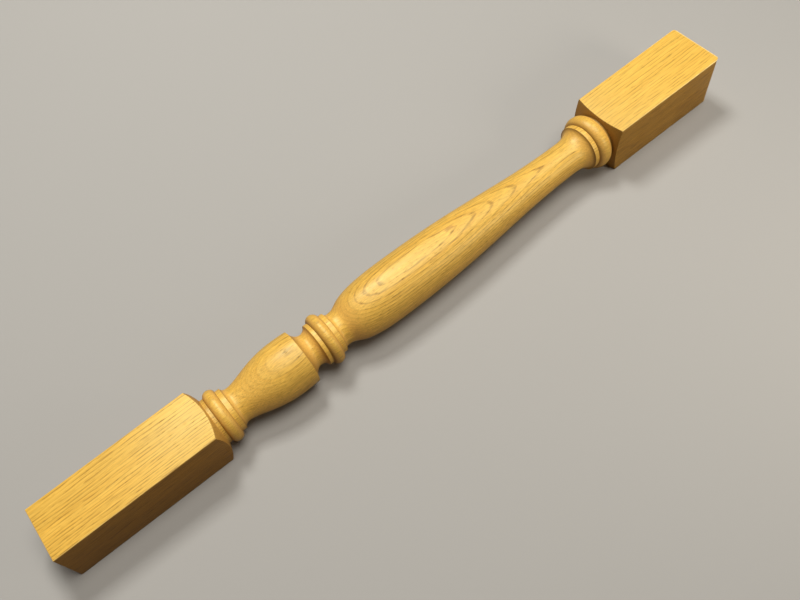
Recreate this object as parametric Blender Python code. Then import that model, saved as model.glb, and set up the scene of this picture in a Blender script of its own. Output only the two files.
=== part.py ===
"""A turned oak stair spindle, lying on the faces of its two square blocks.

+X runs along the spindle, from the long block at its foot to the short block at its head, and +Z is up. The origin is
under the middle of the spindle, on the surface that it lies on. All sizes are in metres.

The spindle is one length of wood. Its turned part is described as a turner would set it out: each member has a run
along the spindle and a depth, measured down from the faces of the square blank to where the member is finished.
"""

import math

import bmesh
import bpy
from mathutils import Matrix, Vector

# The square blank and the blocks left at its ends
BLANK_SIDE = 0.041
FOOT_BLOCK_RUN = 0.1203
HEAD_BLOCK_RUN = 0.0912

# How far the blocks' edges are eased: the long arrises, and the edges round each end
ARRIS_EASE = 0.0009
FOOT_END_EASE = 0.0006
HEAD_END_EASE = 0.0018

# The sloped shoulders between the blocks and the turning
FOOT_SHOULDER_RUN = 0.0056
HEAD_SHOULDER_RUN = 0.0032

# Foot bead, with a fillet below it and a listel above it
FOOT_FILLET_RUN = 0.0025
FOOT_FILLET_DEPTH = 0.0036
FOOT_BEAD_RUN = 0.0090
FOOT_BEAD_DEPTH = 0.0007
FOOT_LISTEL_RUN = 0.0035
FOOT_LISTEL_DEPTH = 0.0046

# Urn, from its waist up to the sharp arris at its top
URN_WAIST_RUN = 0.0038
URN_WAIST_DEPTH = 0.0074
URN_RISE_RUN = 0.0404
URN_BELLY_DEPTH = 0.0002
URN_TOP_RUN = 0.0128
URN_ARRIS_DEPTH = 0.0007

# Middle bead, with a hollow and a flared fillet below it and a listel above it
HOLLOW_FALL_RUN = 0.0071
HOLLOW_DEPTH = 0.0082
HOLLOW_FLARE_RUN = 0.0050
MIDDLE_FILLET_RUN = 0.0029
MIDDLE_FILLET_DEPTH = 0.0046
MIDDLE_BEAD_RUN = 0.0088
MIDDLE_BEAD_DEPTH = 0.0013
MIDDLE_LISTEL_RUN = 0.0033
MIDDLE_LISTEL_DEPTH = 0.0054

# Long vase and the slender neck that it tapers to
VASE_WAIST_RUN = 0.0033
VASE_WAIST_DEPTH = 0.0079
VASE_RISE_RUN = 0.0461
VASE_BELLY_DEPTH = 0.0001
VASE_TAPER_RUN = 0.1575
NECK_DEPTH = 0.0083

# Head bead, with a flared fillet below it and a narrow collar above it
NECK_FLARE_RUN = 0.0117
HEAD_FILLET_RUN = 0.0034
HEAD_FILLET_DEPTH = 0.0034
HEAD_BEAD_RUN = 0.0106
HEAD_BEAD_DEPTH = 0.0003
HEAD_COLLAR_RUN = 0.0010
HEAD_COLLAR_DEPTH = 0.0038

# How far each bead's foot is cut in below the flat beside it
QUIRK_DEPTH = 0.0007

# How far round each hollow turns before it meets its edge: a right angle would meet it upright
WAIST_TURN = math.radians(88)
HOLLOW_TURN = math.radians(72)
FLARE_TURN = math.radians(86)

# A shoulder's two middle handles, from its block: shares of its run and of its fall
SHOULDER_SLOPE = (0.33, 0.25)
SHOULDER_STEEPENING = (0.70, 0.54)

# Fullness of the long curves: the shares of a curve's run that leave its start and reach its end level
URN_FULLNESS = (0.21, 0.50)
URN_TOP_FULLNESS = (0.75, 0.05)
VASE_FULLNESS = (0.22, 0.90)
TAPER_FULLNESS = (0.48, 0.36)

# Fineness of the faces
TURNED_SIDES = 32
BEAD_STEPS = 8
HOLLOW_STEPS = 6
SHOULDER_STEPS = 6
CURVE_STEP = 0.0060
EASE_SEGMENTS = 3
SMOOTH_BELOW = math.radians(32)

# Clearances that only the cutting uses
CORNER_CLEARANCE = 0.0005
END_OVERRUN = 0.0050

OAK_COLOUR = (0.56, 0.33, 0.12, 1.0)
OAK_ROUGHNESS = 0.42

BLANK_HALF = BLANK_SIDE / 2
CORNER_RADIUS = BLANK_HALF * math.sqrt(2) + CORNER_CLEARANCE


class TurnedProfile:
    """The outline of the turning: points of (place along the spindle, radius), added member by member."""

    def __init__(self, start, radius):
        self.points = [(start, radius)]

    def add_flat(self, run, depth):
        """A straight cylinder of the given depth, with a square step down or up to it."""
        place = self.points[-1][0]
        radius = BLANK_HALF - depth
        if not math.isclose(radius, self.points[-1][1], abs_tol=1e-6):
            self.points.append((place, radius))
        self.points.append((place + run, radius))

    def add_bead(self, run, depth, foot_depth):
        """A half-round bead whose foot lies at foot_depth and whose crest lies at depth."""
        middle = self.points[-1][0] + run / 2
        foot = BLANK_HALF - foot_depth
        rise = foot_depth - depth
        for step in range(BEAD_STEPS + 1):
            angle = math.pi * step / BEAD_STEPS
            self.points.append((middle - run / 2 * math.cos(angle), foot + rise * math.sin(angle)))

    def add_fall(self, run, depth, turn):
        """A hollow's first half: it drops steeply from its edge and ends level, after the given turn of an ellipse."""
        place, radius = self.points[-1]
        bottom = BLANK_HALF - depth
        for step in range(1, HOLLOW_STEPS + 1):
            along, up = self.share_of_turn(turn, 1 - step / HOLLOW_STEPS)
            self.points.append((place + run * (1 - along), bottom + (radius - bottom) * up))

    def add_flare(self, run, depth, turn):
        """A hollow's second half: it starts level and rises steeply to its edge, after the given turn of an ellipse."""
        place, bottom = self.points[-1]
        edge = BLANK_HALF - depth
        for step in range(1, HOLLOW_STEPS + 1):
            along, up = self.share_of_turn(turn, step / HOLLOW_STEPS)
            self.points.append((place + run * along, bottom + (edge - bottom) * up))

    def share_of_turn(self, turn, share):
        """How far along and up a part of an elliptical turn has come, each as a share of the whole turn's."""
        angle = turn * share
        return math.sin(angle) / math.sin(turn), (1 - math.cos(angle)) / (1 - math.cos(turn))

    def add_sweep(self, run, depth, fullness):
        """A long curve that is level at both ends, as the side of a vase is."""
        place, radius = self.points[-1]
        end = BLANK_HALF - depth
        handles = (
            Vector((place, radius)),
            Vector((place + run * fullness[0], radius)),
            Vector((place + run * (1 - fullness[1]), end)),
            Vector((place + run, end)),
        )
        self.add_curve(handles, max(4, round(run / CURVE_STEP)))

    def add_shoulder(self, run, start, end):
        """A pommel's shoulder between two radii: it slopes off the wider end and steepens towards the narrower."""
        place = self.points[-1][0]
        shares = [(0.0, 0.0), SHOULDER_SLOPE, SHOULDER_STEEPENING, (1.0, 1.0)]
        if end > start:
            shares = [(1 - along, 1 - fall) for along, fall in reversed(shares)]
        handles = [Vector((place + run * along, start + (end - start) * fall)) for along, fall in shares]
        self.add_curve(handles, SHOULDER_STEPS)

    def add_curve(self, handles, steps):
        """A cubic curve through four handles, from the point after its start to its end."""
        start, leave, arrive, end = handles
        for step in range(1, steps + 1):
            t = step / steps
            u = 1 - t
            point = start * u**3 + leave * 3 * u * u * t + arrive * 3 * u * t * t + end * t**3
            self.points.append((point.x, point.y))


def turned_profile():
    """The whole outline, from the foot's end at 0 to the head's end."""
    profile = TurnedProfile(0.0, CORNER_RADIUS)
    profile.points.append((FOOT_BLOCK_RUN, CORNER_RADIUS))

    profile.add_shoulder(FOOT_SHOULDER_RUN, CORNER_RADIUS, BLANK_HALF - FOOT_FILLET_DEPTH)
    profile.add_flat(FOOT_FILLET_RUN, FOOT_FILLET_DEPTH)
    profile.add_bead(FOOT_BEAD_RUN, FOOT_BEAD_DEPTH, FOOT_FILLET_DEPTH + QUIRK_DEPTH)
    profile.add_flat(FOOT_LISTEL_RUN, FOOT_LISTEL_DEPTH)

    profile.add_fall(URN_WAIST_RUN, URN_WAIST_DEPTH, WAIST_TURN)
    profile.add_sweep(URN_RISE_RUN, URN_BELLY_DEPTH, URN_FULLNESS)
    profile.add_sweep(URN_TOP_RUN, URN_ARRIS_DEPTH, URN_TOP_FULLNESS)

    profile.add_fall(HOLLOW_FALL_RUN, HOLLOW_DEPTH, HOLLOW_TURN)
    profile.add_flare(HOLLOW_FLARE_RUN, MIDDLE_FILLET_DEPTH, HOLLOW_TURN)
    profile.add_flat(MIDDLE_FILLET_RUN, MIDDLE_FILLET_DEPTH)
    profile.add_bead(MIDDLE_BEAD_RUN, MIDDLE_BEAD_DEPTH, MIDDLE_FILLET_DEPTH + QUIRK_DEPTH)
    profile.add_flat(MIDDLE_LISTEL_RUN, MIDDLE_LISTEL_DEPTH)

    profile.add_fall(VASE_WAIST_RUN, VASE_WAIST_DEPTH, WAIST_TURN)
    profile.add_sweep(VASE_RISE_RUN, VASE_BELLY_DEPTH, VASE_FULLNESS)
    profile.add_sweep(VASE_TAPER_RUN, NECK_DEPTH, TAPER_FULLNESS)

    profile.add_flare(NECK_FLARE_RUN, HEAD_FILLET_DEPTH, FLARE_TURN)
    profile.add_flat(HEAD_FILLET_RUN, HEAD_FILLET_DEPTH)
    profile.add_bead(HEAD_BEAD_RUN, HEAD_BEAD_DEPTH, HEAD_FILLET_DEPTH + QUIRK_DEPTH)
    profile.add_flat(HEAD_COLLAR_RUN, HEAD_COLLAR_DEPTH)
    profile.add_shoulder(HEAD_SHOULDER_RUN, BLANK_HALF - HEAD_COLLAR_DEPTH, CORNER_RADIUS)

    profile.points.append((profile.points[-1][0] + HEAD_BLOCK_RUN, CORNER_RADIUS))
    return profile.points


def make_oak():
    """Light golden oak under a clear satin finish."""
    oak = bpy.data.materials.new("oak")
    oak.use_nodes = True
    shader = oak.node_tree.nodes["Principled BSDF"]
    shader.inputs["Base Color"].default_value = OAK_COLOUR
    shader.inputs["Roughness"].default_value = OAK_ROUGHNESS
    shader.inputs["Metallic"].default_value = 0.0
    oak.diffuse_color = OAK_COLOUR
    return oak


def add_object(name, builder, material):
    """Turns a finished bmesh into an object of its own in the scene."""
    bmesh.ops.recalc_face_normals(builder, faces=builder.faces)
    mesh = bpy.data.meshes.new(name)
    builder.to_mesh(mesh)
    builder.free()
    mesh.shade_smooth()
    mesh.set_sharp_from_angle(angle=SMOOTH_BELOW)
    mesh.materials.append(material)
    thing = bpy.data.objects.new(name, mesh)
    bpy.context.scene.collection.objects.link(thing)
    return thing


def make_turning(points, material):
    """The solid that the lathe would leave: the outline spun round the X axis, wider than the blank over the blocks."""
    start, end = points[0][0] - END_OVERRUN, points[-1][0] + END_OVERRUN
    outline = [(start, 0.0), (start, points[0][1])]
    outline += points[1:-1]
    outline += [(end, points[-1][1]), (end, 0.0)]

    builder = bmesh.new()
    rim = [builder.verts.new((place, 0.0, radius)) for place, radius in outline]
    edges = [builder.edges.new(pair) for pair in zip(rim, rim[1:])]
    bmesh.ops.spin(
        builder,
        geom=rim + edges,
        cent=(0.0, 0.0, 0.0),
        axis=(1.0, 0.0, 0.0),
        angle=2 * math.pi,
        steps=TURNED_SIDES,
    )
    bmesh.ops.remove_doubles(builder, verts=builder.verts, dist=1e-6)
    turning = add_object("turning_guide", builder, material)
    turning.hide_render = True
    turning.display_type = "WIRE"
    return turning


def ease_of(edge):
    """How far one edge of the blank is eased."""
    places = [corner.co.x for corner in edge.verts]
    if min(places) > 0:
        return HEAD_END_EASE
    if max(places) < 0:
        return FOOT_END_EASE
    return ARRIS_EASE


def make_spindle(length, turning, material):
    """The square blank with eased edges, cut back to the turned solid."""
    widest = max(ARRIS_EASE, FOOT_END_EASE, HEAD_END_EASE)
    builder = bmesh.new()
    bmesh.ops.create_cube(builder, size=1.0, matrix=Matrix.Diagonal((length, BLANK_SIDE, BLANK_SIDE, 1.0)))
    weight = builder.edges.layers.float.new("bevel_weight_edge")
    for edge in builder.edges:
        edge[weight] = ease_of(edge) / widest
    spindle = add_object("spindle", builder, material)
    spindle.location = (0.0, 0.0, BLANK_HALF)

    ease = spindle.modifiers.new("Eased edges", "BEVEL")
    ease.width = widest
    ease.segments = EASE_SEGMENTS
    ease.limit_method = "WEIGHT"

    cut = spindle.modifiers.new("Turned on the lathe", "BOOLEAN")
    cut.operation = "INTERSECT"
    cut.solver = "EXACT"
    cut.object = turning
    return spindle


def main():
    for old in list(bpy.data.objects):
        bpy.data.objects.remove(old, do_unlink=True)

    oak = make_oak()
    points = turned_profile()
    length = points[-1][0]
    turning = make_turning(points, oak)
    turning.location = (-length / 2, 0.0, BLANK_HALF)
    make_spindle(length, turning, oak)


main()
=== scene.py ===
"""The looks of the turned oak stair spindle: its finely turned surface, its grain and its varnish.

+X runs from the foot's long block to the head's short block and +Z is up. All lengths are in metres.
"""

import logging
import math
from collections.abc import Sequence
from dataclasses import dataclass, field
from enum import Enum
from typing import Any

import bpy
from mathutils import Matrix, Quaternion, Vector
from mathutils.kdtree import KDTree


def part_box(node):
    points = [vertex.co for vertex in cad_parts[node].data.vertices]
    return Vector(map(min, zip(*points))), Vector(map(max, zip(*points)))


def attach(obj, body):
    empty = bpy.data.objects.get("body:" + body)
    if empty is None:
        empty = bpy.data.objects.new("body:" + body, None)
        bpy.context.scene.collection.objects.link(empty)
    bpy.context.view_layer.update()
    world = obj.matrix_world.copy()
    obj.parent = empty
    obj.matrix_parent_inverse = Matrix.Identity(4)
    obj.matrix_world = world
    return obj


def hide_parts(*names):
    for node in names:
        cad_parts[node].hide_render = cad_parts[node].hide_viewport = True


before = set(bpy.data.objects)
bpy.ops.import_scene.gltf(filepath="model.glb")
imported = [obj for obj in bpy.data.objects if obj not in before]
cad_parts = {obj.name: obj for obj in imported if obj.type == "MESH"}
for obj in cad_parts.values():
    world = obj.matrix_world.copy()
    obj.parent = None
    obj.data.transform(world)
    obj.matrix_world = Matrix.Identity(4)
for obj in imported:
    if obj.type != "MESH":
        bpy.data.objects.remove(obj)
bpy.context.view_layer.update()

LOG = logging.getLogger("spindle")
MM = 0.001

Pair = tuple[float, float]
Triple = tuple[float, float, float]
Colour = tuple[float, ...]
Socket = bpy.types.NodeSocket


class Curve(Enum):
    """How one member of the turning runs from its start to its end."""

    FLAT = "flat"
    BEAD = "bead"
    FALL = "fall"
    FLARE = "flare"
    SWEEP = "sweep"
    SHOULDER = "shoulder"


@dataclass(frozen=True)
class Member:
    """One member of the turning, as a turner sets it out.

    The depth is measured down from the blank's faces to where the member is finished. The shape is the turn
    of a fall or flare in degrees, the two level shares of a sweep, or the depth of a bead's two feet.
    """

    curve: Curve
    run: float
    depth: float
    shape: tuple[float, ...] = ()


@dataclass
class Turning:
    """The outline that the lathe cuts, from the foot block's shoulder to the head block's."""

    half_side: float
    foot_block: float = 120.3 * MM
    corner_clearance: float = 0.5 * MM
    shoulder_slope: Pair = (0.33, 0.25)
    shoulder_steepening: Pair = (0.70, 0.54)
    bead_steps: int = 22
    hollow_steps: int = 12
    shoulder_steps: int = 16
    sweep_step: float = 2.0 * MM
    sweep_least: int = 8
    edge_ease: float = 0.3 * MM
    edge_steps: int = 3
    sharp_turn: float = math.radians(35)
    same_level: float = 1e-6
    no_length: float = 1e-7
    members: tuple[Member, ...] = (
        Member(Curve.SHOULDER, 5.6 * MM, 3.6 * MM),
        Member(Curve.FLAT, 2.5 * MM, 3.6 * MM),
        Member(Curve.BEAD, 9.0 * MM, 0.7 * MM, (4.3 * MM,)),
        Member(Curve.FLAT, 3.5 * MM, 4.6 * MM),
        Member(Curve.FALL, 3.8 * MM, 7.4 * MM, (88,)),
        Member(Curve.SWEEP, 40.4 * MM, 0.2 * MM, (0.21, 0.50)),
        Member(Curve.SWEEP, 12.8 * MM, 0.7 * MM, (0.75, 0.05)),
        Member(Curve.FALL, 7.1 * MM, 8.2 * MM, (72,)),
        Member(Curve.FLARE, 5.0 * MM, 4.6 * MM, (72,)),
        Member(Curve.FLAT, 2.9 * MM, 4.6 * MM),
        Member(Curve.BEAD, 8.8 * MM, 1.3 * MM, (5.3 * MM,)),
        Member(Curve.FLAT, 3.3 * MM, 5.4 * MM),
        Member(Curve.FALL, 3.3 * MM, 7.9 * MM, (88,)),
        Member(Curve.SWEEP, 46.1 * MM, 0.1 * MM, (0.22, 0.90)),
        Member(Curve.SWEEP, 157.5 * MM, 8.3 * MM, (0.48, 0.36)),
        Member(Curve.FLARE, 11.7 * MM, 3.4 * MM, (86,)),
        Member(Curve.FLAT, 3.4 * MM, 3.4 * MM),
        Member(Curve.BEAD, 10.6 * MM, 0.3 * MM, (4.1 * MM,)),
        Member(Curve.FLAT, 1.0 * MM, 3.8 * MM),
        Member(Curve.SHOULDER, 3.2 * MM, 3.8 * MM),
    )

    @property
    def span(self) -> Pair:
        """Where the round turning starts and ends, between the two shoulders."""
        return self.start_of(1), self.start_of(len(self.members) - 1)

    def start_of(self, number: int) -> float:
        """Where the member of this number starts."""
        return self.foot_block + sum(member.run for member in self.members[:number])

    @property
    def corner_radius(self) -> float:
        """A radius just clear of the blank's corners."""
        return self.half_side * math.sqrt(2) + self.corner_clearance

    def outline(self) -> list[Vector]:
        """Sets out every member in turn.

        Returns:
            Points of (place from the foot's end, radius), with the sharp outer edges eased.
        """
        points = [Vector((0.0, self.corner_radius)), Vector((self.foot_block, self.corner_radius))]
        for member in self.members:
            points += self.member_points(member, points[-1])
        return self.eased(points)

    def member_points(self, member: Member, start: Vector) -> list[Vector]:
        """Points along one member.

        Args:
            member: The member to set out.
            start: The outline's last point so far.

        Returns:
            The points that follow the start.
        """
        makers = {
            Curve.FLAT: self.flat_points,
            Curve.BEAD: self.bead_points,
            Curve.SWEEP: self.sweep_points,
            Curve.SHOULDER: self.shoulder_points,
        }
        maker = makers.get(member.curve, self.hollow_points)
        return maker(member, start, self.half_side - member.depth)

    def flat_points(self, member: Member, start: Vector, level: float) -> list[Vector]:
        """A straight cylinder, with a square step to it where its level differs from the start's."""
        step = [] if math.isclose(start.y, level, abs_tol=self.same_level) else [Vector((start.x, level))]
        return [*step, Vector((start.x + member.run, level))]

    def bead_points(self, member: Member, start: Vector, level: float) -> list[Vector]:
        """A half-round bead between two feet of equal depth.

        Args:
            member: The member.
            start: Where it starts.
            level: The radius that it reaches.

        Returns:
            Its points after the start.
        """
        foot = self.half_side - member.shape[0]
        angles = [math.pi * step / self.bead_steps for step in range(self.bead_steps + 1)]
        middle = start.x + member.run / 2
        return [
            Vector((middle - member.run / 2 * math.cos(angle), foot + (level - foot) * math.sin(angle)))
            for angle in angles
        ]

    def hollow_points(self, member: Member, start: Vector, level: float) -> list[Vector]:
        """Half a hollow, level at its bottom and steep at its edge.

        Args:
            member: The member.
            start: Where it starts.
            level: The radius that it reaches.

        Returns:
            Its points after the start.
        """
        turn = math.radians(member.shape[0])
        flares = member.curve is Curve.FLARE
        low, high = (start.y, level) if flares else (level, start.y)
        points = []
        for share in (step / self.hollow_steps for step in range(1, self.hollow_steps + 1)):
            angle = turn * (share if flares else 1 - share)
            along = math.sin(angle) / math.sin(turn)
            up = (1 - math.cos(angle)) / (1 - math.cos(turn))
            x = start.x + member.run * (along if flares else 1 - along)
            points.append(Vector((x, low + (high - low) * up)))
        return points

    def sweep_points(self, member: Member, start: Vector, level: float) -> list[Vector]:
        """A long curve that is level at both ends, as the side of a vase is.

        Args:
            member: The member.
            start: Where it starts.
            level: The radius that it reaches.

        Returns:
            Its points after the start.
        """
        leave, arrive = member.shape
        handles = [(0.0, 0.0), (leave, 0.0), (1 - arrive, 1.0), (1.0, 1.0)]
        steps = max(self.sweep_least, round(member.run / self.sweep_step))
        return self.curve_points(handles, start, Vector((start.x + member.run, level)), steps)

    def shoulder_points(self, member: Member, start: Vector, level: float) -> list[Vector]:
        """A shoulder that slopes off its block's corners and steepens towards the turning.

        Args:
            member: The member.
            start: Where it starts.
            level: The radius that it reaches.

        Returns:
            Its points after the start.
        """
        handles = [(0.0, 0.0), self.shoulder_slope, self.shoulder_steepening, (1.0, 1.0)]
        if start.y < self.half_side:
            handles = [(1 - along, 1 - fall) for along, fall in reversed(handles)]
            level = self.corner_radius
        return self.curve_points(handles, start, Vector((start.x + member.run, level)), self.shoulder_steps)

    def curve_points(self, handles: Sequence[Pair], start: Vector, end: Vector, steps: int) -> list[Vector]:
        """Points on a cubic curve.

        Args:
            handles: The curve's four handles, as shares of the way from start to end.
            start: Where the curve starts.
            end: Where it ends.
            steps: How many pieces it is drawn in.

        Returns:
            The points after the start.
        """
        way = end - start
        first, leave, arrive, last = (Vector((start.x + way.x * a, start.y + way.y * b)) for a, b in handles)
        points = []
        for step in range(1, steps + 1):
            t = step / steps
            u = 1 - t
            points.append(first * u**3 + leave * 3 * u * u * t + arrive * 3 * u * t * t + last * t**3)
        return points

    def eased(self, points: Sequence[Vector]) -> list[Vector]:
        """Rounds each sharp turn of the outline a little, as sanding does.

        Args:
            points: The outline as cut.

        Returns:
            The outline as sanded.
        """
        result = [points[0]]
        for before, here, after in zip(points, points[1:], points[2:]):
            arriving, leaving = here - before, after - here
            if min(arriving.length, leaving.length) < self.no_length:
                continue
            if arriving.angle(leaving) < self.sharp_turn:
                result.append(here)
                continue
            reach = min(self.edge_ease, arriving.length / 3, leaving.length / 3)
            start = here - arriving.normalized() * reach
            end = here + leaving.normalized() * reach
            for step in range(self.edge_steps + 1):
                t = step / self.edge_steps
                result.append(start * (1 - t) ** 2 + here * 2 * t * (1 - t) + end * t * t)
        result.append(points[-1])
        return result


class NodeBench:
    """Adds nodes to one tree and joins them, so that a finish reads as a list of steps."""

    def __init__(self, tree: bpy.types.NodeTree) -> None:
        """Takes the tree to work on."""
        self.tree = tree

    def add(self, kind: str, inputs: dict[Any, Any] | None = None, **settings: Any) -> bpy.types.Node:
        """Adds one node.

        Args:
            kind: The node's type name.
            inputs: A value or another node's output for each input socket, by name or number.
            **settings: Values for the node's own settings.

        Returns:
            The new node.
        """
        node = self.tree.nodes.new(kind)
        for name, value in settings.items():
            setattr(node, name, value)
        for socket, value in (inputs or {}).items():
            self.feed(node.inputs[socket], value)
        return node

    def feed(self, socket: Socket, value: Any) -> None:
        """Joins an output to a socket, or sets the socket's own value.

        Args:
            socket: The input socket to feed.
            value: Another node's output, or a plain value.
        """
        if isinstance(value, Socket):
            self.tree.links.new(value, socket)
        else:
            socket.default_value = value

    def math(self, operation: str, *values: Any) -> Socket:
        """The result of one sum on up to three values."""
        return self.add("ShaderNodeMath", dict(enumerate(values)), operation=operation).outputs[0]

    def times(self, first: Any, second: Any) -> Socket:
        """The product of two values."""
        return self.math("MULTIPLY", first, second)

    def less(self, value: Any, part: Any) -> Socket:
        """A value less a part."""
        return self.math("SUBTRACT", value, part)

    def scaled(self, value: Any, gain: Any, base: Any) -> Socket:
        """The value times a gain, added to a base."""
        return self.math("MULTIPLY_ADD", value, gain, base)

    def between(self, share: Any, low: float, high: float) -> Socket:
        """The value that lies a share of the way from low to high."""
        return self.scaled(share, high - low, low)

    def vector(self, operation: str, *values: Any) -> Socket:
        """The vector that one vector operation gives."""
        return self.add("ShaderNodeVectorMath", dict(enumerate(values)), operation=operation).outputs[0]

    def parts(self, vector: Any) -> Any:
        """The vector's X, Y and Z."""
        return self.add("ShaderNodeSeparateXYZ", {0: vector}).outputs

    def joined(self, *values: Any) -> Socket:
        """The vector of three values."""
        return self.add("ShaderNodeCombineXYZ", dict(enumerate(values))).outputs[0]

    def noise(self, place: Any, detail: float = 2.0, roughness: float = 0.5) -> Socket:
        """A soft noise from 0 to 1 about 0.5."""
        inputs = {"Vector": place, "Scale": 1.0, "Detail": detail, "Roughness": roughness}
        return self.add("ShaderNodeTexNoise", inputs).outputs["Fac"]

    def stretched(self, place: Any, along: float, across: float) -> Socket:
        """The place divided by a length along the grain and a width across it."""
        return self.vector("DIVIDE", place, (along, across, across))

    def step(self, value: Any, low: Any, high: Any) -> Socket:
        """A smooth rise from 0 at low to 1 at high."""
        inputs = {"Value": value, "From Min": low, "From Max": high}
        return self.add("ShaderNodeMapRange", inputs, interpolation_type="SMOOTHSTEP").outputs[0]

    def mix(self, share: Any, first: Any, second: Any, blend: str = "MIX") -> Socket:
        """A colour between two colours."""
        inputs = {0: share, 6: first, 7: second}
        return self.add("ShaderNodeMix", inputs, data_type="RGBA", blend_type=blend).outputs[2]

    def tint(self, colour: Any, tone: Any, mask: Any, depth: float) -> Socket:
        """The colour, turned towards a tone by a depth where the mask is 1."""
        return self.mix(self.times(mask, depth), colour, tone)

    def brightened(self, colour: Any, gain: Any) -> Socket:
        """The colour times a gain."""
        tone = self.add("ShaderNodeCombineColor", {0: gain, 1: gain, 2: gain}).outputs[0]
        return self.mix(1.0, colour, tone, "MULTIPLY")


class Effect:
    """A shading effect kept as a node group with named inputs and outputs."""

    name: str = ""
    vectors: tuple[str, ...] = ()
    values: tuple[str, ...] = ()
    gives: tuple[str, ...] = ()

    def tree(self) -> bpy.types.NodeTree:
        """Builds the group, or finds it where it is built already.

        Returns:
            The group's node tree.
        """
        if self.name in bpy.data.node_groups:
            return bpy.data.node_groups[self.name]
        tree = bpy.data.node_groups.new(self.name, "ShaderNodeTree")
        for name in self.vectors:
            tree.interface.new_socket(name=name, in_out="INPUT", socket_type="NodeSocketVector")
        for way, names in (("INPUT", self.values), ("OUTPUT", self.gives)):
            for name in names:
                tree.interface.new_socket(name=name, in_out=way, socket_type="NodeSocketFloat")
        bench = NodeBench(tree)
        entry = bench.add("NodeGroupInput")
        results = self.wire(bench, entry.outputs)
        bench.add("NodeGroupOutput", results)
        return tree

    def wire(self, bench: NodeBench, given: Any) -> dict[str, Socket]:
        """Joins the group's nodes.

        Args:
            bench: The group's nodes.
            given: Its inputs.

        Returns:
            Its outputs.
        """
        raise NotImplementedError

    def place_in(self, bench: NodeBench, values: dict[str, Any]) -> Any:
        """Places the effect in a material.

        Args:
            bench: The material's nodes.
            values: A value or output for each of the effect's inputs.

        Returns:
            The effect's outputs.
        """
        node = bench.add("ShaderNodeGroup", node_tree=self.tree())
        for name, value in values.items():
            bench.feed(node.inputs[name], value)
        return node.outputs


class GrowthRings(Effect):
    """The tree's yearly rings about a distant pith, each a dark porous line and a broad pale band.

    A sway is a noise by which the rings wander: its length, width and detail, and its share.
    """

    name = "Growth rings"
    vectors = ("Place", "Pith")
    values = ("Radius", "Ring Width", "Line Share", "Rake", "Wander", "Lean Years")
    gives = ("Line", "Band", "Year", "Ray")
    sways = ((110 * MM, 30 * MM, 2.0, 1.0), (24 * MM, 6 * MM, 1.0, 0.35), (12 * MM, 2.2 * MM, 1.0, 0.08))
    lean_gain = 500.0
    uneven_pace = 0.61
    uneven_years = 0.5
    line_opens = 0.03
    line_closes = (0.90, 1.0)
    band_season = (0.25, 1.0)
    ray_size = (30 * MM, 0.55 * MM, 9 * MM)
    ray_rise = (0.56, 0.70)

    def wire(self, bench: NodeBench, given: Any) -> dict[str, Socket]:
        """Measures the distance beyond a given radius about the pith, and cuts it into years.

        Args:
            bench: The group's nodes.
            given: Its inputs.

        Returns:
            Its outputs.
        """
        sway = 0.0
        for length, width, detail, share in self.sways:
            noise = bench.noise(bench.stretched(given["Place"], length, width), detail)
            sway = bench.scaled(noise, share, sway)
        middle = sum(share for *_, share in self.sways) / 2
        sway = bench.times(bench.less(sway, middle), given["Wander"])
        parts = bench.parts(bench.vector("SUBTRACT", given["Place"], given["Pith"]))
        across = bench.math("POWER", parts["Y"], 2.0)
        up = bench.math("POWER", parts["Z"], 2.0)
        distance = bench.less(bench.math("SQRT", bench.math("ADD", across, up)), given["Radius"])
        distance = bench.math("ADD", distance, bench.times(parts["X"], given["Rake"]))
        distance = bench.math("ADD", distance, sway)
        years = bench.math("DIVIDE", distance, given["Ring Width"])
        lean = bench.math("MAXIMUM", 0.0, bench.less(distance, given["Lean Years"]))
        years = bench.scaled(lean, self.lean_gain, years)
        pace = {"W": years, "Scale": self.uneven_pace, "Detail": 1.0}
        uneven = bench.add("ShaderNodeTexNoise", pace, noise_dimensions="1D").outputs["Fac"]
        years = bench.math("ADD", years, bench.times(uneven, self.uneven_years))
        season = bench.math("FRACT", years)
        opening = bench.less(1.0, bench.step(season, self.line_opens, given["Line Share"]))
        closing = bench.step(season, *self.line_closes)
        year = bench.add("ShaderNodeTexWhiteNoise", {"W": bench.math("FLOOR", years)}, noise_dimensions="1D")
        arc = bench.times(bench.math("ARCTAN2", parts["Y"], parts["Z"]), given["Radius"])
        ray = bench.noise(bench.vector("DIVIDE", bench.joined(parts["X"], arc, distance), self.ray_size), 1.0)
        return {
            "Ray": bench.step(ray, *self.ray_rise),
            "Line": bench.math("MAXIMUM", opening, closing),
            "Band": bench.step(season, *self.band_season),
            "Year": year.outputs["Value"],
        }


class Vessels(Effect):
    """The wood's open pores, cut into short dark dashes along the grain."""

    name = "Vessels"
    vectors = ("Place",)
    values = ("Length", "Width", "Share")
    gives = ("Mask",)
    rim = (0.12, 0.28)

    def wire(self, bench: NodeBench, given: Any) -> dict[str, Socket]:
        """Gives each cell of a stretched pattern one pore, and keeps a share of them.

        Args:
            bench: The group's nodes.
            given: Its inputs.

        Returns:
            Its outputs.
        """
        size = bench.joined(given["Length"], given["Width"], given["Width"])
        place = bench.vector("DIVIDE", given["Place"], size)
        cells = bench.add("ShaderNodeTexVoronoi", {"Vector": place, "Scale": 1.0, "Randomness": 1.0})
        dash = bench.less(1.0, bench.step(cells.outputs["Distance"], *self.rim))
        pick = bench.add("ShaderNodeSeparateColor", {0: cells.outputs["Color"]})
        kept = bench.math("LESS_THAN", pick.outputs[0], given["Share"])
        return {"Mask": bench.times(dash, kept)}


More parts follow.
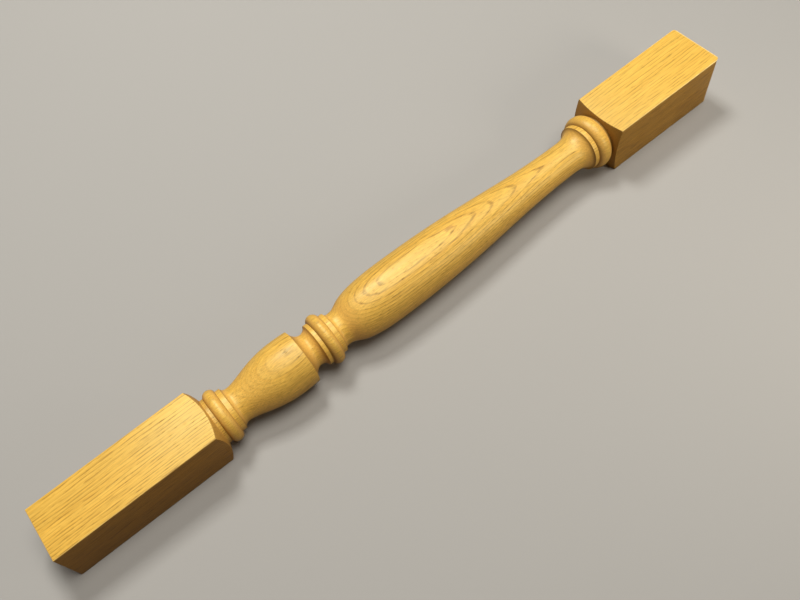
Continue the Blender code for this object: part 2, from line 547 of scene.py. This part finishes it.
class Streaks(Effect):
    """Thin wavy lines along the grain, where the pores of one year are cut lengthways.

    The gaps, fibre and mottle are noises, each with its pace in three directions, detail and roughness.
    """

    name = "Streaks"
    vectors = ("Place",)
    values = ("Length", "Spacing", "Fineness")
    gives = ("Lines", "Fibre", "Mottle")
    line_noise = (2.5, 0.55)
    gaps = ((2.6, 0.7, 0.7), 1.0, 0.5)
    fibre = ((1.2, 3.2, 3.2), 3.0, 0.60)
    mottle = ((6.5, 1.4, 1.4), 2.0, 0.6)
    gap_rise = (0.40, 0.62)

    def wire(self, bench: NodeBench, given: Any) -> dict[str, Socket]:
        """Draws the lines where a stretched noise passes its middle, and breaks them up.

        Args:
            bench: The group's nodes.
            given: Its inputs.

        Returns:
            Its outputs.
        """
        size = bench.joined(given["Length"], given["Spacing"], given["Spacing"])
        place = bench.vector("DIVIDE", given["Place"], size)
        off_middle = bench.math("ABSOLUTE", bench.less(bench.noise(place, *self.line_noise), 0.5))
        lines = bench.less(1.0, bench.step(off_middle, 0.0, given["Fineness"]))
        gaps, fibre, mottle = (
            bench.noise(bench.vector("MULTIPLY", place, pace), detail, roughness)
            for pace, detail, roughness in (self.gaps, self.fibre, self.mottle)
        )
        lines = bench.times(lines, bench.step(gaps, *self.gap_rise))
        return {"Lines": lines, "Fibre": fibre, "Mottle": mottle}


class Drift(Effect):
    """A slow, uneven change of tone over a surface."""

    name = "Drift"
    vectors = ("Place", "Size")
    values = ("Strength",)
    gives = ("Gain",)
    detail = 3.0

    def wire(self, bench: NodeBench, given: Any) -> dict[str, Socket]:
        """Turns a large soft noise into a gain about 1.

        Args:
            bench: The group's nodes.
            given: Its inputs.

        Returns:
            Its outputs.
        """
        cloud = bench.noise(bench.vector("DIVIDE", given["Place"], given["Size"]), self.detail)
        return {"Gain": bench.scaled(bench.less(cloud, 0.5), given["Strength"], 1.0)}


@dataclass
class Grain(NodeBench):
    """The oak's nodes, with the places, masks and patterns in the wood that its steps share.

    The turned mask is 1 over the turned part, and the urn mask over the urn and its beads.
    """

    tree: bpy.types.NodeTree
    place: Any
    along: Any
    turned: Any
    urn: Any
    rings: Any = None
    streaks: Any = None
    lines: Any = None
    pores: Any = None

    def by_part(self, blocks: float, turned: float, urn: float) -> Socket:
        """A value that differs over the blocks, the turned part and the urn."""
        return self.scaled(self.urn, urn - turned, self.between(self.turned, blocks, turned))


@dataclass(frozen=True)
class OakFinish:
    """Light golden oak under a clear satin varnish.

    A tint is how far a mark turns the wood to its tone, and a rise is where a mask starts and is full.
    The sides' tint, a painted shade on the blocks' sides, is for the foot and the head. Pores have a length,
    a width and a share, and streaks have a length, a spacing and a fineness. Other pairs are for the blocks
    and the turned part, and a third value is for the urn.
    """

    side: float
    turned_from: float
    turned_to: float
    urn_from: float
    urn_crown: float
    urn_to: float
    vase_from: float
    vase_to: float
    recess_shade_attribute: str
    edge_sheen_attribute: str
    pale: Colour = (0.760, 0.445, 0.082, 1.0)
    golden: Colour = (0.700, 0.375, 0.056, 1.0)
    line: Colour = (0.370, 0.178, 0.026, 1.0)
    pore: Colour = (0.180, 0.074, 0.012, 1.0)
    rosy: Colour = (0.690, 0.345, 0.088, 1.0)
    # Painted shade: multiplied into the blocks' side faces to darken and redden them.
    side_shade_tone: Colour = (0.500, 0.360, 0.230, 1.0)
    # Pale edge colour: rubbed wood, and a painted highlight along the blocks' level edges.
    edge_sheen_and_wear: Colour = (0.950, 0.710, 0.280, 1.0)
    end: Colour = (0.400, 0.195, 0.042, 1.0)
    # Painted shade in the quirks and corners, standing also for gathered varnish.
    recess_shade_and_varnish: Colour = (0.130, 0.052, 0.009, 1.0)
    knot_tone: Colour = (0.440, 0.190, 0.045, 1.0)
    band_tint: float = 0.50
    year_tint: float = 0.40
    line_tint: float = 0.86
    streak_tint: float = 0.30
    pore_tint: float = 0.86
    # How far the painted side shade goes at the foot and at the head.
    side_shade_tint: Pair = (0.80, 0.55)
    side_grain_tint: float = 0.75
    rosy_tint: float = 0.40
    end_tint: float = 0.85
    end_tone_tint: float = 0.60
    end_ring_tint: float = 0.55
    end_ray_tint: float = 0.38
    end_pore_tint: float = 0.5
    # Strength of the pale edges, both rubbed wood and painted highlight.
    edge_sheen_and_wear_tint: float = 1.6
    # Strength of the painted shade in the quirks and corners.
    recess_shade_tint: float = 0.60
    knot_tint: float = 0.55
    side_rise: Pair = (0.15, 0.60)
    level_rise: Pair = (0.85, 0.45)
    rosy_rise: Pair = (0.08, 0.50)
    end_rise: Pair = (0.50, 1.0)
    knot_place: Triple = (50 * MM, 0.8 * MM, 38 * MM)
    knot_size: Triple = (5.0 * MM, 2.4 * MM, 4.0 * MM)
    knot_fibre: Pair = (2 * MM, 0.7 * MM)
    knot_ragged: float = 0.9
    knot_rise: Pair = (1.1, 0.4)
    pith_distance: Pair = (250 * MM, 75 * MM)
    pith_lean: Pair = (math.radians(27), math.radians(2.4))
    first_ring: float = 15.37 * MM
    lean_years: float = 3.63 * MM
    ring_width: Pair = (1.0 * MM, 1.3 * MM)
    line_share: Pair = (0.36, 0.25)
    rake: float = 0.018
    wander: Triple = (2.4 * MM, 1.3 * MM, 2.2 * MM)
    dash_size: Pair = (13 * MM, 1.5 * MM)
    dash_rise: Pair = (0.36, 0.60)
    unbroken: Triple = (0.12, 0.40, 0.18)
    vase_fade: float = 16 * MM
    line_fade: float = 4 * MM
    streaks: Triple = (42 * MM, 1.3 * MM, 0.05)
    small_pores: Triple = (6.0 * MM, 0.70 * MM, 0.55)
    large_pores: Triple = (12.0 * MM, 1.1 * MM, 0.35)
    small_crowding: float = 0.70
    large_crowding: float = 0.80
    small_open: Triple = (0.30, 0.48, 0.58)
    large_open: float = 0.14
    fibre_gain: float = 0.90
    fibre_base: float = 0.57
    mottle: Pair = (0.20, 0.60)
    drift_size: Triple = (70 * MM, 20 * MM, 20 * MM)
    drift_strength: float = 0.30
    gloss: float = 0.34
    gloss_tint: Colour = (0.85, 1.0, 0.65, 1.0)
    roughness: float = 0.40
    fibre_roughness: float = 0.12
    pore_roughness: float = 0.22
    tuck_roughness: float = 0.15
    coat: Pair = (0.06, 0.38)
    coat_roughness: float = 0.44
    pore_depth: float = 0.12 * MM
    fibre_height: float = 0.25
    bump_strength: float = 0.55

    def pith(self, distance: float, lean: float) -> Triple:
        """A place in the heart of the tree, below the spindle's axis and to one side."""
        return (0.0, distance * math.sin(lean), self.side / 2 - distance * math.cos(lean))

    def material(self) -> bpy.types.Material:
        """Builds the finish.

        Returns:
            The material that the spindle wears.
        """
        oak = bpy.data.materials.new("oak")
        oak.use_nodes = True
        bench = NodeBench(oak.node_tree)
        shader = oak.node_tree.nodes["Principled BSDF"]
        where = bench.add("ShaderNodeTexCoord").outputs
        wood = self.grain(bench, where["Object"])
        colour = self.cut_colour(wood, where["Normal"], self.wood_colour(wood))
        colour = bench.tint(colour, self.knot_tone, self.knot(wood), self.knot_tint)
        # Painted shade in the quirks and corners, and pale block edges that are partly rubbed wood and partly
        # painted highlight.
        recess_shade_and_varnish, edge = (
            bench.add("ShaderNodeAttribute", attribute_name=name).outputs["Fac"]
            for name in (self.recess_shade_attribute, self.edge_sheen_attribute)
        )
        # Pale block edges, partly rubbed wood and partly painted highlight, broken up by the mottle.
        sheen_and_wear = bench.times(wood.streaks["Mottle"], self.edge_sheen_and_wear_tint)
        colour = bench.mix(bench.times(edge, sheen_and_wear), colour, self.edge_sheen_and_wear)
        bench.feed(shader.inputs["Base Color"], bench.tint(colour, self.recess_shade_and_varnish, recess_shade_and_varnish, self.recess_shade_tint))
        self.surface(wood, shader, recess_shade_and_varnish)
        return oak

    def grain(self, bench: NodeBench, place: Any) -> Grain:
        """Lays out the masks and patterns in the wood.

        Args:
            bench: The material's nodes.
            place: The place in the wood.

        Returns:
            All that the later steps share.
        """
        along = bench.parts(place)["X"]
        turned = bench.step(along, self.turned_from - MM, self.turned_from)
        turned = bench.times(turned, bench.step(along, self.turned_to + MM, self.turned_to))
        urn = bench.times(turned, bench.step(along, self.vase_from, self.urn_from))
        wood = Grain(bench.tree, place, along, turned, urn)
        wood.streaks = Streaks().place_in(wood, {"Place": place, **dict(zip(Streaks.values, self.streaks))})
        wood.rings = self.rings(wood)
        wood.lines = self.lines(wood)
        wood.pores = self.pores(wood)
        return wood

    def knot(self, wood: Grain) -> Socket:
        """The small dark fleck on top of the vase, ragged and soft at its rim.

        Args:
            wood: The wood's nodes and patterns.

        Returns:
            The fleck's mask.
        """
        way = wood.vector("DIVIDE", wood.vector("SUBTRACT", wood.place, self.knot_place), self.knot_size)
        reach = wood.add("ShaderNodeVectorMath", {0: way}, operation="LENGTH").outputs["Value"]
        rough = wood.noise(wood.stretched(wood.place, *self.knot_fibre))
        rough = wood.scaled(rough, self.knot_ragged, -self.knot_ragged / 2)
        return wood.step(wood.math("ADD", reach, rough), *self.knot_rise)

    def rings(self, wood: Grain) -> Any:
        """The growth rings: looped over the turned part, and cut at a slant in the two blocks.

        Args:
            wood: The wood's nodes and patterns.

        Returns:
            The rings' outputs.
        """
        turned = wood.turned
        hearts = [self.pith(distance, lean) for distance, lean in zip(self.pith_distance, self.pith_lean)]
        pith = wood.add("ShaderNodeMix", {0: turned, 4: hearts[0], 5: hearts[1]}, data_type="VECTOR")
        values = {
            "Place": wood.place,
            "Pith": pith.outputs[1],
            "Radius": wood.between(turned, *(distance + self.first_ring for distance in self.pith_distance)),
            "Ring Width": wood.between(turned, *self.ring_width),
            "Line Share": wood.between(turned, *self.line_share),
            "Rake": wood.times(turned, self.rake),
            "Wander": wood.by_part(*self.wander),
            "Lean Years": wood.between(turned, self.side, self.lean_years),
        }
        return GrowthRings().place_in(wood, values)

    def lines(self, wood: Grain) -> Socket:
        """The rings' dark lines, broken into long dashes and fainter on the small members.

        Args:
            wood: The wood's nodes and patterns.

        Returns:
            The mask of the lines.
        """
        gaps = wood.step(wood.noise(wood.stretched(wood.place, *self.dash_size)), *self.dash_rise)
        unbroken = wood.by_part(*self.unbroken)
        kept = wood.scaled(gaps, wood.less(1.0, unbroken), unbroken)
        changes = (
            (self.turned_from, 0.30),
            (self.urn_from, 0.36),
            (self.urn_crown, 0.80),
            (self.urn_to, 0.30),
            (self.vase_from, 0.50),
            (self.vase_from + self.vase_fade, 0.95),
            (self.vase_to, 0.30),
            (self.turned_to, 0.75),
        )
        strength = level = 1.0
        for edge, new_level in changes:
            rise = wood.step(wood.along, edge, edge + self.line_fade)
            strength = wood.scaled(rise, new_level - level, strength)
            level = new_level
        return wood.times(wood.times(wood.rings["Line"], kept), strength)

    def pores(self, wood: Grain) -> Socket:
        """The pores, crowded into each year's first wood and few elsewhere.

        Args:
            wood: The wood's nodes and patterns.

        Returns:
            The mask of the pores.
        """
        small, large = (
            Vessels().place_in(wood, {"Place": wood.place, **dict(zip(Vessels.values, sizes))})["Mask"]
            for sizes in (self.small_pores, self.large_pores)
        )
        crowd = wood.scaled(wood.lines, self.small_crowding, wood.by_part(*self.small_open))
        small = wood.times(small, crowd)
        large = wood.times(large, wood.scaled(wood.lines, self.large_crowding, self.large_open))
        return wood.math("MAXIMUM", small, large)

    def wood_colour(self, wood: Grain) -> Socket:
        """The long grain's colour.

        Args:
            wood: The wood's nodes and patterns.

        Returns:
            The colour.
        """
        band = wood.times(wood.rings["Band"], self.band_tint)
        band = wood.scaled(wood.rings["Year"], self.year_tint, band)
        colour = wood.mix(band, self.pale, self.golden)
        colour = wood.tint(colour, self.line, wood.lines, self.line_tint)
        colour = wood.tint(colour, self.line, wood.streaks["Lines"], self.streak_tint)
        fibre = wood.scaled(wood.streaks["Fibre"], self.fibre_gain, self.fibre_base)
        uneven = wood.between(wood.turned, *self.mottle)
        mottle = wood.scaled(wood.less(wood.streaks["Mottle"], 0.5), uneven, 1.0)
        sizes = {"Size": self.drift_size, "Strength": self.drift_strength}
        drift = Drift().place_in(wood, {"Place": wood.place, **sizes})["Gain"]
        colour = wood.brightened(colour, wood.times(wood.times(drift, fibre), mottle))
        return wood.tint(colour, self.pore, wood.pores, self.pore_tint)

    def cut_colour(self, wood: Grain, normal: Any, colour: Any) -> Socket:
        """Paints shade on the blocks' sawn sides, darker and redder and most at the foot, warms the wood on
        slopes, and darkens it on cut ends, which drink more varnish.

        Args:
            wood: The wood's nodes and patterns.
            normal: The surface's direction.
            colour: The long grain's colour.

        Returns:
            The colour.
        """
        facing = wood.parts(normal)
        slope, sideways, level = (wood.math("ABSOLUTE", facing[axis]) for axis in "XYZ")
        # The blocks' side faces get a painted shade, stronger towards the foot than the head.
        side = wood.times(wood.step(sideways, *self.side_rise), wood.step(level, *self.level_rise))
        side = wood.math("MAXIMUM", wood.less(side, wood.turned), 0.0)
        beyond = wood.step(wood.along, self.turned_from, self.turned_to)
        side_shade_share = wood.times(side, wood.between(beyond, *self.side_shade_tint))
        colour = wood.mix(side_shade_share, colour, self.side_shade_tone, "MULTIPLY")
        grain = wood.math("MAXIMUM", wood.rings["Line"], wood.streaks["Lines"])
        colour = wood.tint(colour, self.pore, wood.times(side, grain), self.side_grain_tint)
        colour = wood.tint(colour, self.rosy, wood.step(slope, *self.rosy_rise), self.rosy_tint)
        dark = wood.mix(self.end_tone_tint, colour, self.end)
        dark = wood.tint(dark, self.pore, wood.rings["Line"], self.end_ring_tint)
        dark = wood.tint(dark, self.golden, wood.rings["Ray"], self.end_ray_tint)
        dark = wood.tint(dark, self.pore, wood.pores, self.end_pore_tint)
        return wood.tint(colour, dark, wood.step(slope, *self.end_rise), self.end_tint)

    def surface(self, wood: Grain, shader: Any, recess_shade_and_varnish: Any) -> None:
        """Gives the varnish its sheen, brighter where it was burnished on the lathe.

        Args:
            wood: The wood's nodes and patterns.
            shader: The material's shader.
            recess_shade_and_varnish: The mask of quirks and corners.
        """
        fibre, pores = wood.streaks["Fibre"], wood.pores
        rough = wood.scaled(fibre, self.fibre_roughness, self.roughness - self.fibre_roughness / 2)
        rough = wood.scaled(pores, self.pore_roughness, rough)
        wood.feed(shader.inputs["Roughness"], wood.scaled(recess_shade_and_varnish, self.tuck_roughness, rough))
        coat = wood.times(wood.less(1.0, pores), wood.between(wood.turned, *self.coat))
        wood.feed(shader.inputs["Coat Weight"], coat)
        shader.inputs["Coat Roughness"].default_value = self.coat_roughness
        shader.inputs["Specular IOR Level"].default_value = self.gloss
        shader.inputs["Specular Tint"].default_value = self.gloss_tint
        height = wood.scaled(fibre, self.fibre_height, wood.times(pores, -1.0))
        relief = {"Height": height, "Strength": self.bump_strength, "Distance": self.pore_depth}
        wood.feed(shader.inputs["Normal"], wood.add("ShaderNodeBump", relief).outputs["Normal"])


@dataclass(frozen=True)
class FloorFinish:
    """A plain pale matt floor."""

    colour: Colour = (0.362, 0.338, 0.325, 1.0)
    bounce: Colour = (0.160, 0.145, 0.140, 1.0)
    roughness: float = 0.85
    drift_size: Triple = (0.5, 0.5, 0.5)
    drift_strength: float = 0.03

    def material(self) -> bpy.types.Material:
        """Builds the finish: its tone drifts a very little, and it throws back less light than it shows.

        Returns:
            The material that the floor wears.
        """
        floor = bpy.data.materials.new("pale_floor")
        floor.use_nodes = True
        bench = NodeBench(floor.node_tree)
        shader = floor.node_tree.nodes["Principled BSDF"]
        place = bench.add("ShaderNodeTexCoord").outputs["Object"]
        sizes = {"Size": self.drift_size, "Strength": self.drift_strength}
        gain = Drift().place_in(bench, {"Place": place, **sizes})["Gain"]
        seen = bench.add("ShaderNodeLightPath").outputs["Is Camera Ray"]
        colour = bench.mix(seen, self.bounce, self.colour)
        bench.feed(shader.inputs["Base Color"], bench.brightened(colour, gain))
        shader.inputs["Roughness"].default_value = self.roughness
        return floor


@dataclass
class Spindle:
    """The whole spindle: a square blank with eased edges, turned between its two blocks."""

    length: float
    side: float
    sides: int = 192
    arris_ease: float = 0.9 * MM
    foot_end_ease: float = 0.6 * MM
    head_end_ease: float = 1.8 * MM
    head_corner_ease: float = 5.0 * MM
    ease_segments: int = 5
    arch_ease: float = 0.3 * MM
    arch_segments: int = 2
    overrun: float = 5.0 * MM
    weld_gap: float = 2e-6
    smooth_below: float = math.radians(32)
    # How the quirks and corners are found, for their painted shade and their rougher gathered varnish.
    tuck_reach: float = 2.8 * MM
    tuck_full: float = 2.4 * MM
    tuck_gap: float = 1.0 * MM
    tuck_slack: float = 1e-6
    recess_shade_name: str = "recess_shade_and_varnish"
    # The blocks' level edges, painted pale as rubbed wood and as a highlight along them.
    edge_sheen_name: str = "edge_sheen_and_wear_mark"
    edge_mark_depth: float = 0.15 * MM
    edge_mark_limit: float = 0.60 * MM
    light_sheen_and_wear: float = 0.35
    landmarks: tuple[tuple[str, int], ...] = (
        ("urn_from", 5),
        ("urn_crown", 6),
        ("urn_to", 7),
        ("vase_from", 13),
        ("vase_to", 15),
    )
    turning: Turning = field(init=False)

    def __post_init__(self) -> None:
        """Sets out the turning for this blank."""
        self.turning = Turning(half_side=self.side / 2)

    @property
    def half_side(self) -> float:
        """From the spindle's axis to the middle of a face, and to the floor."""
        return self.side / 2

    def build(self) -> bpy.types.Object:
        """Makes the spindle.

        Returns:
            The finished piece, with its place in its mesh.
        """
        outline = self.turning.outline()
        LOG.info("outline set out: %d points over %.1f mm", len(outline), outline[-1].x / MM)
        turned = self.spin(outline)
        piece = self.blank()
        for thing, slot_of_faces in ((piece, 0), (turned, 1)):
            thing.data.materials.append(None)
            thing.data.materials.append(None)
            thing.data.polygons.foreach_set("material_index", [slot_of_faces] * len(thing.data.polygons))
        self.cut(piece, turned)
        self.ease_arches(piece)
        self.mark_recess_shade(piece, outline)
        self.mark_edge_sheen(piece)
        self.dress(piece)
        return piece

    def spin(self, outline: Sequence[Vector]) -> bpy.types.Object:
        """Draws the outline from a single corner of a plane, and spins it about the spindle's axis.

        Args:
            outline: Points of (place from the foot's end, radius).

        Returns:
            The solid that the lathe would leave, wider than the blank over the blocks.
        """
        start, end = -self.overrun, self.length + self.overrun
        path = [Vector((start, 0.0)), Vector((start, outline[0].y)), *outline[1:]]
        path += [Vector((end, outline[-1].y)), Vector((end, 0.0))]
        bpy.ops.object.select_all(action="DESELECT")
        bpy.ops.mesh.primitive_plane_add(size=self.side, location=(0.0, 0.0, self.half_side))
        turned = bpy.context.object
        turned.name = "turned_guide"
        bpy.ops.object.mode_set(mode="EDIT")
        bpy.ops.mesh.select_mode(type="VERT")
        bpy.ops.mesh.select_all(action="DESELECT")
        bpy.ops.object.mode_set(mode="OBJECT")
        for corner, vertex in enumerate(turned.data.vertices):
            vertex.select = corner > 0
        bpy.ops.object.mode_set(mode="EDIT")
        bpy.ops.mesh.delete(type="VERT")
        bpy.ops.object.mode_set(mode="OBJECT")
        turned.data.vertices[0].co = (path[0].x - self.length / 2, 0.0, path[0].y)
        turned.data.vertices[0].select = True
        bpy.ops.object.mode_set(mode="EDIT")
        for here, there in zip(path, path[1:]):
            move = (there.x - here.x, 0.0, there.y - here.y)
            bpy.ops.mesh.extrude_vertices_move(TRANSFORM_OT_translate={"value": move})
        bpy.ops.mesh.select_all(action="SELECT")
        middle = (0.0, 0.0, self.half_side)
        bpy.ops.mesh.spin(steps=self.sides, angle=2 * math.pi, center=middle, axis=(1.0, 0.0, 0.0))
        bpy.ops.mesh.select_all(action="SELECT")
        bpy.ops.mesh.remove_doubles(threshold=self.weld_gap)
        bpy.ops.mesh.normals_make_consistent(inside=False)
        bpy.ops.object.mode_set(mode="OBJECT")
        bpy.ops.object.transform_apply(location=True, rotation=True, scale=True)
        return turned

    def blank(self) -> bpy.types.Object:
        """The square blank, with every edge eased by its own amount.

        Returns:
            The blank.
        """
        bpy.ops.object.select_all(action="DESELECT")
        bpy.ops.mesh.primitive_cube_add(
            size=1.0, location=(0.0, 0.0, self.half_side), scale=(self.length, self.side, self.side)
        )
        blank = bpy.context.object
        blank.name = "oak_spindle"
        bpy.ops.object.transform_apply(location=True, rotation=True, scale=True)
        widest = max(self.arris_ease, self.foot_end_ease, self.head_end_ease, self.head_corner_ease)
        weights = blank.data.attributes.new("bevel_weight_edge", "FLOAT", "EDGE")
        for number, edge in enumerate(blank.data.edges):
            weights.data[number].value = self.ease_of(blank.data, edge) / widest
        bpy.ops.object.modifier_add(type="BEVEL")
        ease = blank.modifiers[-1]
        ease.width = widest
        ease.segments = self.ease_segments
        ease.limit_method = "WEIGHT"
        bpy.ops.object.modifier_apply(modifier=ease.name)
        return blank

    def ease_of(self, mesh: bpy.types.Mesh, edge: bpy.types.MeshEdge) -> float:
        """How far one edge of the blank is eased.

        Args:
            mesh: The blank's mesh.
            edge: The edge.

        Returns:
            The ease's width.
        """
        start, end = (mesh.vertices[corner].co for corner in edge.vertices)
        if start.x * end.x < 0:
            return self.arris_ease
        if start.x < 0:
            return self.foot_end_ease
        upright = math.isclose(start.y, end.y, abs_tol=MM)
        return self.head_corner_ease if upright else self.head_end_ease

    def cut(self, piece: bpy.types.Object, turned: bpy.types.Object) -> None:
        """Cuts the blank back to the turned solid, and clears that solid away.

        Args:
            piece: The blank.
            turned: The turned solid.
        """
        bpy.ops.object.select_all(action="DESELECT")
        piece.select_set(True)
        bpy.context.view_layer.objects.active = piece
        bpy.ops.object.modifier_add(type="BOOLEAN")
        lathe = piece.modifiers[-1]
        lathe.operation = "INTERSECT"
        lathe.solver = "EXACT"
        lathe.object = turned
        bpy.ops.object.modifier_apply(modifier=lathe.name)
        bpy.data.objects.remove(turned, do_unlink=True)

    def ease_arches(self, piece: bpy.types.Object) -> None:
        """Softens the arched edges where the shoulders meet the blocks' faces.

        Args:
            piece: The spindle, whose turned faces have material number 1.
        """
        mesh = piece.data
        owners: dict[tuple[int, int], set[int]] = {}
        for polygon in mesh.polygons:
            for key in polygon.edge_keys:
                owners.setdefault(key, set()).add(polygon.material_index)
        bpy.ops.object.mode_set(mode="EDIT")
        bpy.ops.mesh.select_mode(type="EDGE")
        bpy.ops.mesh.select_all(action="DESELECT")
        bpy.ops.object.mode_set(mode="OBJECT")
        for edge in mesh.edges:
            edge.select = len(owners.get(tuple(sorted(edge.vertices)), ())) > 1
        bpy.ops.object.mode_set(mode="EDIT")
        bpy.ops.mesh.bevel(
            offset=self.arch_ease, segments=self.arch_segments, affect="EDGES", clamp_overlap=True
        )
        bpy.ops.object.mode_set(mode="OBJECT")

    def mark_recess_shade(self, piece: bpy.types.Object, outline: Sequence[Vector]) -> None:
        """Marks the quirks and corners for painted shade, deeper ones darker, and for the varnish gathered
        there, which is rougher.

        Args:
            piece: The spindle.
            outline: The turned outline.
        """
        tree = KDTree(len(outline))
        depths = []
        for number, point in enumerate(outline):
            tree.insert((point.x - self.length / 2, point.y, 0.0), number)
            near = [other for other in outline if abs(other.x - point.x) < self.tuck_reach]
            left = max(other.y for other in near if other.x <= point.x + self.tuck_slack)
            right = max(other.y for other in near if other.x >= point.x - self.tuck_slack)
            depths.append(min(1.0, max(0.0, min(left, right) - point.y) / self.tuck_full))
        tree.balance()
        marks = piece.data.attributes.new(self.recess_shade_name, "FLOAT", "POINT")
        values = []
        for vertex in piece.data.vertices:
            radius = math.hypot(vertex.co.y, vertex.co.z - self.half_side)
            _, number, gap = tree.find((vertex.co.x, radius, 0.0))
            values.append(depths[number] if gap < self.tuck_gap else 0.0)
        marks.data.foreach_set("value", values)

    def mark_edge_sheen(self, piece: bpy.types.Object) -> None:
        """Marks the level eased edges of the two blocks, painted pale as rubbed edges and as painted
        highlights along them, most of all at the head's end.

        Args:
            piece: The spindle.
        """
        start, end = (place - self.length / 2 for place in self.turning.span)
        values = []
        for vertex in piece.data.vertices:
            along, across, up = vertex.co
            depth = min(
                self.length / 2 - abs(along),
                self.half_side - abs(across),
                self.half_side - abs(up - self.half_side),
            )
            on_block = along < start or along > end
            level_edge = self.half_side - abs(up - self.half_side) < self.edge_mark_limit
            edge_sheen_and_wear = on_block and level_edge and depth < self.edge_mark_limit
            # The painted highlight and rubbing are strongest at the head's end.
            sheen_and_wear = 1.0 if along > self.length / 2 - self.head_corner_ease else self.light_sheen_and_wear
            values.append(sheen_and_wear * min(1.0, max(0.0, depth / self.edge_mark_depth)) if edge_sheen_and_wear else 0.0)
        marks = piece.data.attributes.new(self.edge_sheen_name, "FLOAT", "POINT")
        marks.data.foreach_set("value", values)

    def dress(self, piece: bpy.types.Object) -> None:
        """Smooths the turned surface and gives the whole piece its oak.

        Args:
            piece: The spindle.
        """
        mesh = piece.data
        mesh.polygons.foreach_set("material_index", [0] * len(mesh.polygons))
        mesh.materials.clear()
        start, end = (place - self.length / 2 for place in self.turning.span)
        finish = OakFinish(
            side=self.side,
            turned_from=start,
            turned_to=end,
            recess_shade_attribute=self.recess_shade_name,
            edge_sheen_attribute=self.edge_sheen_name,
            **{name: self.turning.start_of(number) - self.length / 2 for name, number in self.landmarks},
        )
        mesh.materials.append(finish.material())
        bpy.ops.object.select_all(action="DESELECT")
        piece.select_set(True)
        bpy.context.view_layer.objects.active = piece
        bpy.ops.object.shade_smooth_by_angle(angle=self.smooth_below)


class Source(Enum):
    """What kind of light a lamp gives."""

    SOFTBOX = "AREA"
    SKYLIGHT = "SUN"


@dataclass(frozen=True)
class Lamp:
    """One soft studio light.

    The size is a softbox's side in metres, or the angle in degrees that a skylight fills. The power is in
    watts for a softbox, and in watts on each square metre for a skylight. The spread is in degrees.
    """

    name: str
    source: Source
    place: Triple
    size: float
    power: float
    colour: Colour
    aim: Triple = (0.0, 0.0, 0.0)
    spread: float = 180.0

    def hang(self) -> None:
        """Hangs the lamp in the scene."""
        data = bpy.data.lights.new(self.name, self.source.value)
        if self.source is Source.SOFTBOX:
            data.shape = "SQUARE"
            data.size = self.size
            data.spread = math.radians(self.spread)
        else:
            data.angle = math.radians(self.size)
        data.energy = self.power
        data.color = self.colour
        light = bpy.data.objects.new(self.name, data)
        light.location = self.place
        way = Vector(self.aim) - Vector(self.place)
        light.rotation_euler = way.to_track_quat("-Z", "Y").to_euler()
        bpy.context.scene.collection.objects.link(light)


@dataclass
class Studio:
    """The pale floor, the soft lights and the camera at the photograph's viewing angle."""

    floor_size: float = 8.0
    floor_cuts: int = 3
    world_colour: Colour = (1.0, 0.72, 0.50, 1.0)
    world_strength: float = 0.04
    wall_colour: Colour = (1.0, 0.97, 0.93, 1.0)
    wall_strength: float = 0.42
    camera_place: Triple = (-0.1371, -0.2486, 0.5037)
    camera_turn: tuple[float, float, float, float] = (0.91441, 0.24499, 0.01177, -0.32203)
    camera_lens: float = 36.866
    camera_sensor: float = 36.0
    camera_near: float = 0.01
    camera_shift: Pair = (0.10, 0.05)
    lamps: tuple[Lamp, ...] = (
        Lamp("window", Source.SOFTBOX, (0.16, 0.64, 1.26), 0.36, 13.5, (0.97, 1.0, 0.95)),
        Lamp("skylight", Source.SKYLIGHT, (0.26, -0.10, 1.0), 34.0, 2.10, (1.0, 1.0, 0.92)),
        Lamp(
            "fill",
            Source.SOFTBOX,
            (0.34, -0.48, 0.27),
            size=0.20,
            power=0.26,
            colour=(1.0, 0.95, 0.80),
            aim=(0.20, 0.0, 0.02),
            spread=90.0,
        ),
    )

    def build(self) -> None:
        """Sets out the floor, the lights and the camera."""
        self.lay_floor()
        for lamp in self.lamps:
            lamp.hang()
        self.light_room()
        self.set_camera()
        bpy.context.scene.view_settings.view_transform = "Standard"

    def lay_floor(self) -> None:
        """A plain floor, cut finer so that it isn't a bare plane."""
        bpy.ops.object.select_all(action="DESELECT")
        bpy.ops.mesh.primitive_plane_add(size=self.floor_size)
        floor = bpy.context.object
        floor.name = "floor"
        bpy.ops.object.mode_set(mode="EDIT")
        bpy.ops.mesh.subdivide(number_cuts=self.floor_cuts)
        bpy.ops.object.mode_set(mode="OBJECT")
        floor.data.materials.append(FloorFinish().material())

    def light_room(self) -> None:
        """An even, weak light from all round, behind which the room's wall shows pale."""
        world = bpy.data.worlds.new("studio")
        world.use_nodes = True
        bench = NodeBench(world.node_tree)
        background = world.node_tree.nodes["Background"]
        seen = bench.add("ShaderNodeLightPath").outputs["Is Camera Ray"]
        bench.feed(background.inputs["Color"], bench.mix(seen, self.world_colour, self.wall_colour))
        strength = bench.between(seen, self.world_strength, self.wall_strength)
        bench.feed(background.inputs["Strength"], strength)
        bpy.context.scene.world = world

    def set_camera(self) -> None:
        """The camera, high over the foot's end as in the photograph."""
        data = bpy.data.cameras.new("camera")
        data.lens = self.camera_lens
        data.sensor_width = self.camera_sensor
        data.shift_x, data.shift_y = self.camera_shift
        data.clip_start = self.camera_near
        camera = bpy.data.objects.new("camera", data)
        camera.location = self.camera_place
        camera.rotation_euler = Quaternion(self.camera_turn).to_euler()
        bpy.context.scene.collection.objects.link(camera)
        bpy.context.scene.camera = camera


def main() -> None:
    """Builds the spindle and its studio, and says what each piece stands for."""
    logging.basicConfig(level=logging.INFO, format="%(name)s: %(message)s")
    low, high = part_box("spindle")
    spindle = Spindle(length=high.x - low.x, side=high.z - low.z).build()
    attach(spindle, "root")
    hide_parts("spindle")
    LOG.info("%s: %d faces", spindle.name, len(spindle.data.polygons))
    Studio().build()
    LOG.info("studio set out")


if __name__ == "__main__":
    main()
